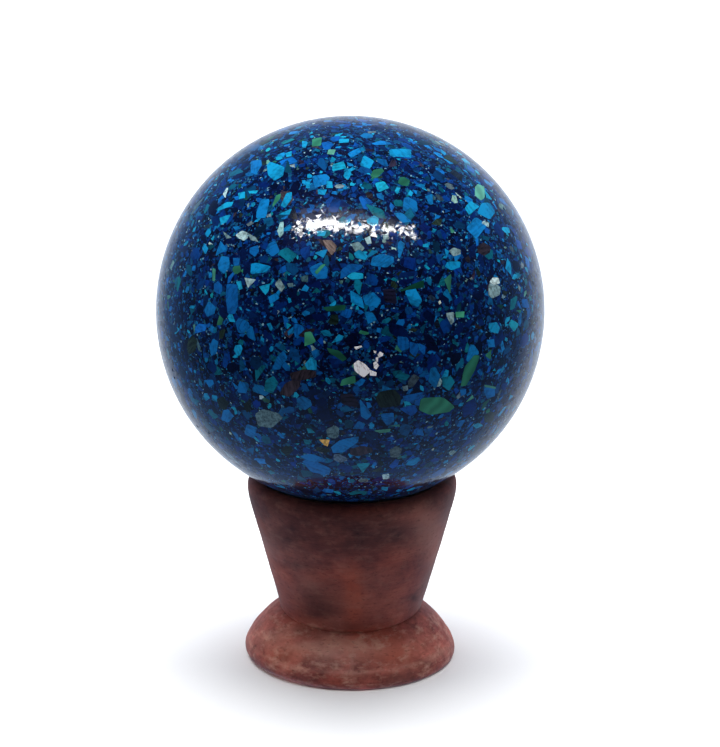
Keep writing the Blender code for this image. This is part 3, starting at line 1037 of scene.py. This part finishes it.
foot_share = np.interp(heights, FOOT_TOP, [1, 0])[:, None]
rings_mark = sum(np.sin(stations * 2 * pi / pitch + i) * 0.5 for i, pitch in enumerate(RING_PITCHES))
relief = sum((high + more * foot_share) * wander(plain, size, seed) for size, seed, high, more in HAND_WAVES)
relief += RING_HEIGHT * rings_mark[:, None] * (1 + 0.6 * wander(plain, 9, 6))
relief *= on_side[:, None]
stand_points = (plain + turned(outwards, stand_circle) * relief[..., None]).reshape(-1, 3)
numbers = np.arange(len(stand_points)).reshape(-1, STAND_SEGMENTS)
upper, lower = numbers[:-1], numbers[1:]
quads = np.stack([upper, lower, np.roll(lower, -1, 1), np.roll(upper, -1, 1)], -1).reshape(-1, 4)
dish_cap = fan(numbers[0, ::-1], len(stand_points))
underside = fan(numbers[-1], len(stand_points) + 1)
stand_points = np.concatenate([stand_points, [(0, 0, outline[0, 1]), (0, 0, 0)]])
stand_faces = [quads, dish_cap, underside]
stand_mesh = new_piece("stand_turned", stand_points * MM, stand_faces, "stand")
volume = sum(polygon.center.dot(polygon.normal) * polygon.area for polygon in stand_mesh.polygons) / 3
print("stand:", len(stand_points), "points, volume in cm3:", round(volume * 1e6, 2))

# %% [markdown]
# ## Stains and wear, with painted light and shade
#
# The stand has been stained by hand, so it is smoky where the stain pooled and redder where it was
# wiped thin. The foot's ridge is rubbed pale. Some blots are painted light and shade as well: dark
# blots under the ball and in the groove are partly painted shadow, and red and pale ones on the
# cup's sides and the foot's top are partly painted rim light, sheen and lightening. Each soft patch
# is a bell-shaped blot round one pixel of the photograph, and lies on the side of the stand that the
# camera sees. Wandering blots give the sides and the back the same kind of unevenness.

# %% Where the blots lie
# Each blot: pixel across and down, half width and half height in pixels, turn in degrees, strength.
# Dark blots: partly smoky stain, and partly painted shadow under the ball and its lip and in the groove.
DARK_STAIN_AND_PAINTED_SHADE_BLOTS = [
    (300, 508, 60, 13, -6, 0.6), (400, 506, 60, 9, 10, 0.5), (372, 524, 36, 13, -25, 0.95),
    (297, 533, 34, 11, 8, 0.9), (345, 545, 44, 13, 5, 0.5), (266, 500, 14, 30, -14, 0.4),
    (290, 566, 20, 4, 0, 0.4), (318, 602, 24, 13, 6, 0.85), (322, 613, 20, 6, 4, 0.6),
    (345, 628, 40, 6, 2, 0.5), (414, 598, 4, 4, 0, 0.9), (440, 500, 14, 12, 0, 0.5),
    (410, 570, 18, 10, 30, 0.3), (285, 658, 10, 6, 0, 0.5), (318, 664, 9, 7, 0, 0.7),
    (428, 664, 14, 4, -25, 0.6), (375, 640, 12, 8, 0, 0.25), (390, 676, 16, 4, 0, 0.4),
    (268, 672, 16, 6, 40, 0.4), (266, 648, 16, 14, 0, 0.16), (436, 645, 14, 14, 0, 0.2),
]
# Red blots: partly stain wiped thin, and partly painted light along the cup's sides and on the foot's top.
RED_STAIN_AND_PAINTED_LIGHT_BLOTS = [
    (354, 595, 9, 30, 0, 0.9), (330, 575, 26, 10, 0, 0.35), (368, 640, 30, 14, 0, 0.8),
    (386, 655, 26, 9, -8, 0.7), (280, 656, 14, 8, 0, 0.6), (335, 683, 22, 6, 0, 0.5),
    (300, 620, 34, 12, 10, 0.4), (392, 560, 18, 20, 0, 0.3), (370, 505, 30, 8, 0, 0.3),
    (350, 600, 54, 16, 0, 0.4), (350, 648, 70, 12, 0, 0.55), (258, 550, 14, 46, -16, 0.5),
    (440, 545, 16, 50, 16, 0.5),
]
# Pale blots: partly rubbed wear, and partly painted light: rim light along the cup's sides, and sheen and
# lightening on the foot's top, where the ball's shadow falls.
PALE_WEAR_AND_PAINTED_LIGHT_BLOTS = [
    (350, 602, 60, 16, 0, 0.25), (345, 648, 60, 13, 0, 0.68), (285, 632, 26, 8, 14, 0.6),
    (310, 646, 26, 4, 4, 0.8), (345, 642, 20, 4, -14, 0.7), (325, 652, 8, 8, 0, 0.4),
    (352, 663, 2, 12, 0, 0.5), (283, 664, 2, 9, 0, 0.5), (407, 652, 3, 12, -8, 0.5),
    (438, 655, 22, 4, 30, 0.6), (349, 674, 14, 3, -8, 0.5), (268, 640, 14, 12, 0, 0.3),
    (306, 586, 20, 10, 0, 0.25), (262, 552, 12, 44, -16, 0.7), (434, 545, 15, 50, 16, 0.7),
    (402, 520, 34, 26, 0, 0.2),
]
print("blots:", len(DARK_STAIN_AND_PAINTED_SHADE_BLOTS), "dark,", len(RED_STAIN_AND_PAINTED_LIGHT_BLOTS), "red,", len(PALE_WEAR_AND_PAINTED_LIGHT_BLOTS), "pale")


# %% The strength of the blots at each point
# The blots that the photograph shows fade out over 6 mm round the side of the stand.
SIDE_FADE = 6
# The wandering blots, which show most at the back: their size in mm and their strength.
WANDER_SIZE = 16
WANDER_STRENGTH = 0.3


def pixels_of(places):
    """The pixel at which the camera sees each place: across and up, divided by the depth."""
    away = places - np.array(camera.location)
    depth = away[..., 1] * cos(CAMERA_PITCH) - away[..., 2] * sin(CAMERA_PITCH)
    up = away[..., 1] * sin(CAMERA_PITCH) + away[..., 2] * cos(CAMERA_PITCH)
    from_middle = FOCAL_PX * np.stack([away[..., 0], -up], -1) / depth[..., None]
    return [PHOTO_WIDTH / 2, PHOTO_HEIGHT / 2] + from_middle


def blotted(blots, seed):
    """The strength of all blots at each point: bells round their pixels, and a wandering part all round."""
    pixels = pixels_of(stand_points * MM)
    seen = np.clip(-stand_points[:, 1] / SIDE_FADE, 0, 1)
    total = np.clip(wander(stand_points, WANDER_SIZE, seed) * WANDER_STRENGTH, 0, 1) * (1 - 0.6 * seen)
    for x, y, half_width, half_height, turn, strength in blots:
        own = turned_by(radians(turn), *(pixels - (x, y)).T) / (half_width, half_height)
        total = total + seen * strength * np.exp(-(own**2).sum(1))
    return np.clip(total, 0, 1)


blot_colours = np.ones((len(stand_points), 4))
for channel, blots in enumerate((DARK_STAIN_AND_PAINTED_SHADE_BLOTS, RED_STAIN_AND_PAINTED_LIGHT_BLOTS, PALE_WEAR_AND_PAINTED_LIGHT_BLOTS)):
    blot_colours[:, channel] = blotted(blots, 30 + channel)
print("mean strength of dark, red and pale blots:", blot_colours[:, :3].mean(0).round(2))

# %% Add the rubbed ridge and the darker ends, painted shade with some stain, and write all of it on the mesh
# The foot's ridge is rubbed pale in a line of 0.3 mm either way, and most where it stands out.
RUBBED_HALF = 0.3
RIDGE_SQUARE = 360

height = stand_points[:, 2]
uneven = 0.55 + 0.3 * wander(stand_points, 5, 40)
outer = (stand_points[:, :2] ** 2).sum(1) / RIDGE_SQUARE
rubbed_line = np.exp(-(((height - RIDGE[1]) / RUBBED_HALF) ** 2)) * uneven * outer
blot_colours[:, 2] = np.clip(blot_colours[:, 2] + 0.7 * rubbed_line, 0, 1)
# The foot's lowest 3 mm and the cup above 20 mm are darker: painted shade below the foot's ridge,
# and at the cup's top painted shade under the ball together with smoky stain.
stain_and_shade_ends = 0.16 * np.clip((3.0 - height) / 0.8, 0, 1) + 0.38 * np.clip((height - 20) / 9, 0, 1)
blot_colours[:, 0] = np.clip(blot_colours[:, 0] + stain_and_shade_ends, 0, 1)
# The alpha is free to say how far a point belongs to the foot, which is the most worn part.
blot_colours[:, 3] = np.clip((10.5 - height) / 2, 0, 1)
blot_layer = stand_mesh.attributes.new("blots", "FLOAT_COLOR", "POINT")
blot_layer.data.foreach_set("color", blot_colours.ravel())
print("with the ridge and the smoky ends:", blot_colours[:, :3].mean(0).round(2))

# %% [markdown]
# ## Stained hardwood
#
# A reddish hardwood with a spirit stain and a thin wiped finish. The stain sinks unevenly into the
# grain, so the colour is mottled at several scales: clouds of a centimetre, flecks of a millimetre
# and fine lines along the grain. The finish is thin, so it shines only softly.

# %% The patterns of the wood
# The low gloss and the warm sheen give the eye a dry, wiped surface that pales towards its edges.
wood, wood_shader = new_material(
    "turned hardwood, spirit stained and wiped",
    {
        "IOR": 1.5,
        "Specular IOR Level": 0.14,
        "Sheen Weight": 0.1,
        "Sheen Roughness": 0.4,
        "Sheen Tint": (1, 0.55, 0.45, 1),
    },
)
# Each pattern: its length in mm, how many times lower than long it is, and the noise's detail and
# roughness. Stain spreads along the rings that the lathe left, so most patterns are flattened.
WOOD_PATTERNS = {
    "clouds": (9, 1.8, 6, 0.62),
    "flecks": (1.2, 1, 4, 0.7),
    "rings": (5, 20, 3, 0.6),
    "mottles": (2.6, 1, 5, 0.72),
    "rubs": (3, 2.3, 6, 0.66),
    "pores": (0.9, 2.2, 2, 0.5),
}
place = node(wood, "TexCoord").outputs["Object"]
noises = {}
for name, (long, flat_share, detail, roughness) in WOOD_PATTERNS.items():
    flattened = node(wood, "Mapping", {"Vector": place, "Scale": (1, 1, flat_share)})
    noises[name] = node(
        wood,
        "TexNoise",
        {"Vector": flattened, "Scale": 1 / (long * MM), "Detail": detail, "Roughness": roughness},
    )
print("patterns of the wood:", ", ".join(noises))

# %% Stained hardwood
# Each share: the pattern, the two noise levels it runs between, and what it multiplies the colour by.
blot_node = node(wood, "Attribute", attribute_name="blots")
blot = node(wood, "SeparateColor", [blot_node])
on_foot = blot_node.outputs["Alpha"]
fleck_share = node(wood, "MapRange", [noises["flecks"], 0.3, 0.7, 0.84, 1.16])
ring_share = node(wood, "MapRange", [noises["rings"], 0.35, 0.65, 0.9, 1.1])
# The mottling is strongest on the foot, where the blot layer's alpha is highest.
mottle_low = node(wood, "MapRange", [on_foot, 0, 1, 0.92, 0.66])
mottle_high = node(wood, "MapRange", [on_foot, 0, 1, 1.08, 1.42])
mottle_share = node(wood, "MapRange", [noises["mottles"], 0.36, 0.64, mottle_low, mottle_high])
# The foot is lighter than the cup by a quarter: partly stain wiped thinner, and partly painted light.
thin_stain_and_painted_light = node(wood, "MapRange", [on_foot, 0, 1, 1, 1.25])
product = fleck_share
for share in (ring_share, mottle_share, thin_stain_and_painted_light):
    product = node(wood, "Math", [product, share], operation="MULTIPLY")
CLOUD_COLOURS = [(0.3, "#643230"), (0.45, "#7e403a"), (0.57, "#924c42"), (0.72, "#a85e50")]
cloud_colour = node(wood, "ValToRGB", {"Fac": noises["clouds"]}, CLOUD_COLOURS)
colour = node(wood, "VectorMath", {0: cloud_colour, "Scale": product}, operation="SCALE")
# The blots: thin red, rubbed pale and smoky brown over both, each broken up by the mottling. The
# red and pale ones also carry painted light, and the brown ones painted shade.
for channel, tint, most in (("Green", "#b24a30", 0.75), ("Blue", "#c48a78", 0.6), ("Red", "#2c1a1c", 0.7)):
    broken = node(wood, "MapRange", [noises["mottles"], 0.35, 0.65, 0.75 * most, 1.1 * most])
    share = node(wood, "Math", [blot.outputs[channel], broken], operation="MULTIPLY")
    colour = node(wood, "Mix", {0: share, 6: colour, 7: tint}, data_type="RGBA")
# Rubbed streaks show mostly on the foot, where hands have worn it, and pores are dark all over.
rub_most = node(wood, "MapRange", [on_foot, 0, 1, 0.12, 0.75])
for pattern, low, most, tint in (("rubs", 0.5, rub_most, "#c8907c"), ("pores", 0.6, 0.32, "#2e1714")):
    share = node(wood, "MapRange", [noises[pattern], low, 0.7, 0, most])
    colour = node(wood, "Mix", {0: share, 6: colour, 7: tint}, data_type="RGBA")
# Open pores leave a low relief of a few hundredths of a millimetre.
relief = node(wood, "Bump", {"Strength": 0.5, "Distance": 0.05 * MM, "Height": noises["flecks"]})
gloss = node(wood, "MapRange", [noises["clouds"], 0.3, 0.7, 0.44, 0.6])
set_inputs(wood_shader, {"Base Color": colour, "Normal": relief, "Roughness": gloss})
stand_mesh.materials.append(wood)
print("wood nodes:", len(wood.node_tree.nodes))

# %% [markdown]
# ## Floor and light
#
# A pale floor, a wide soft light overhead, weak ones at the front and the sides, and a long narrow
# lamp whose reflection is the white bar near the top of the ball. The ball is a mirror, so the lamp
# lies where the rays through the bar's two ends go on to. The bar bends, and is thicker at its left
# end, so the lamp is built from two halves and a short end, with a faint glow round them.

# %% Floor
FLOOR_HALF = 4.0
floor_mesh = bpy.data.meshes.new("floor")
square = [(x * FLOOR_HALF, y * FLOOR_HALF, 0) for x, y in ((-1, -1), (1, -1), (1, 1), (-1, 1))]
floor_mesh.from_pydata(square, [], [(0, 1, 2, 3)])
floor = bpy.data.objects.new("floor", floor_mesh)
bpy.context.scene.collection.objects.link(floor)
floor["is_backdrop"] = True
# A matt white sheet shows nothing but the soft shadow of the stand.
paper, _ = new_material("matt white paper", {"Roughness": 0.9, "Base Color": "#f2f2f2"})
floor_mesh.materials.append(paper)
# The bright paper would veil the ball's lower half and light it too strongly. So neither gloss nor
# soft light sees it, and a lamp that lies on it stands for the light that it throws up.
floor.visible_glossy = False
floor.visible_diffuse = False
print("floor:", 2 * FLOOR_HALF, "m wide")


# %% Lights
def add_light(name, centre, side_way, size, power):
    """An area light in watts that faces the ball, whose long side runs along side_way."""
    data = bpy.data.lights.new(name, "AREA")
    data.shape = "RECTANGLE"
    data.size, data.size_y = size
    data.energy = power
    light = bpy.data.objects.new(name, data)
    back = unit(centre - BALL_CENTRE)
    side = unit(side_way - back * (side_way @ back))
    turn = np.eye(4)
    turn[:3] = np.stack([side, np.cross(back, side), back, centre], -1)
    light.matrix_world = Matrix(turn.tolist())
    light.visible_camera = False
    bpy.context.scene.collection.objects.link(light)
    return light


LAMP_DISTANCE = 0.5
# Each part of the lamp: the two pixels where its ends show, its height in metres, and its radiance.
LAMPS = {
    "left half of the lamp": ((295, 229), (353, 227.5), 0.023, 60),
    "right half of the lamp": ((353, 228.5), (413, 233.5), 0.022, 60),
    "end of the lamp": ((308, 222.5), (338, 222.5), 0.030, 60),
    "glow round the lamp": ((294, 221), (392, 228), 0.085, 1.6),
}
for name, (left, right, height, radiance) in LAMPS.items():
    end_normals = ball_direction(np.array([left, right], float))
    end_places = BALL_CENTRE + BALL_RADIUS * end_normals
    to_camera = unit(np.array(camera.location) - end_places)
    mirrored = 2 * (end_normals * to_camera).sum(1, keepdims=True) * end_normals - to_camera
    lamp_ends = end_places + mirrored * LAMP_DISTANCE
    lamp_way = lamp_ends[1] - lamp_ends[0]
    length = float(np.linalg.norm(lamp_way))
    # A flat lamp gives pi watts for each square metre and unit of radiance.
    lamp = add_light(name, lamp_ends.mean(0), lamp_way, (length, height), radiance * pi * length * height)
    lamp.visible_diffuse = False
    print(name, "is", round(length, 3), "m long at", lamp_ends.mean(0).round(3))

# Each soft light: its place in metres, the way of its sides, their length, and its power in watts.
SOFT_LIGHTS = {
    "soft overhead": ((0, 0.3, 3.0), (1, 0, 0), 3.2, 215),
    "soft front": ((-0.5, -1.2, 1.3), (1, 0, 0), 1.0, 1.5),
    "soft left": ((-1.3, 0.05, 0.3), (0, 1, 0), 1.0, 4.4),
    "soft right": ((1.3, 0.05, 0.3), (0, 1, 0), 1.0, 4.0),
    "light from the paper": ((0, 0, 0.0001), (1, 0, 0), 1.2, 1.9),
}
for name, (centre, side_way, side, power) in SOFT_LIGHTS.items():
    # The ball mirrors none of these, because the photograph shows only the lamp in it.
    add_light(name, np.array(centre), np.array(side_way), (side, side), power).visible_glossy = False
print("soft lights:", ", ".join(SOFT_LIGHTS))

# %% World
world = bpy.data.worlds.new("studio")
world.use_nodes = True
bpy.context.scene.world = world
# The wall behind the ball is pale, more so low down and to the right, and the camera's side is dim.
WALL_COLOURS = [(0, "#10161e"), (0.3, "#243448"), (0.6, "#3c5a7c"), (0.85, "#7496be"), (1, "#e4eefc")]
TABLE_COLOUR = "#7e9cc4"
axes = node(world, "SeparateXYZ", [node(world, "TexCoord").outputs["Generated"]])
behind = node(world, "Math", [axes, 0.12, axes.outputs["Y"]], operation="MULTIPLY_ADD")
leaning = node(world, "Math", [axes.outputs["Z"], -0.47, behind], operation="MULTIPLY_ADD")
level = node(world, "MapRange", [leaning, -1, 1, 0, 1])
wall = node(world, "ValToRGB", {"Fac": level}, WALL_COLOURS)
# The table top in front is mirrored by the lower half of the ball, as a dull blue grey.
below = node(world, "MapRange", [axes.outputs["Z"], -0.4, -0.85, 0, 0.9])
room = node(world, "Mix", {0: below, 6: wall, 7: TABLE_COLOUR}, data_type="RGBA")
set_inputs(world.node_tree.nodes["Background"], {"Color": room})
bpy.context.scene.view_settings.view_transform = "Standard"
print("world nodes:", len(world.node_tree.nodes))

# %% Measure the size of what is shown
low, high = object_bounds()
